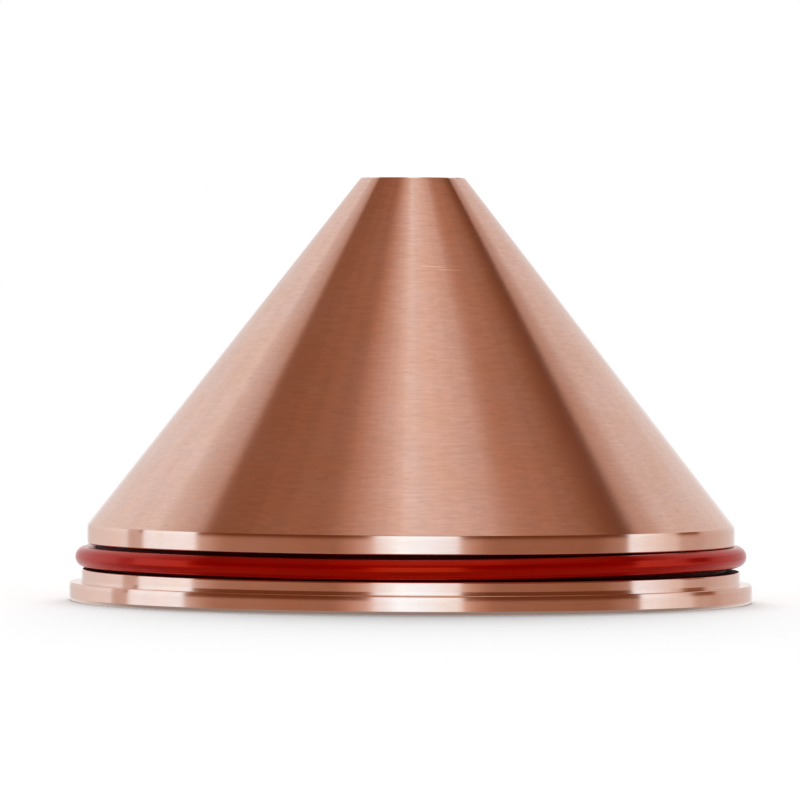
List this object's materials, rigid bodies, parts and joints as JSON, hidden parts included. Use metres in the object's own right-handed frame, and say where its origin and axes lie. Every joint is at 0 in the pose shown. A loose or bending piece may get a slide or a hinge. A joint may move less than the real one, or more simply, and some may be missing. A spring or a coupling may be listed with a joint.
{
  "type": "plasma shield cap",
  "caption": "Cone-shaped copper shield for a plasma cutting torch, open at the tip and hollow behind, with a flange and a red seal ring in a groove round its rim.",
  "frame": {"origin": "centre of the flange's foot face", "axes": "+Z along the axis of turning, from the foot to the tip"},
  "size_m": [0.05, 0.05, 0.031],
  "materials": {
    "copper": "turned copper, fine marks round the cone, polished rim",
    "silicone": "smooth red silicone, slightly glossy"
  },
  "bodies": {
    "root": {"shield_body": "copper", "o_ring": "silicone"}
  },
  "joints": []
}
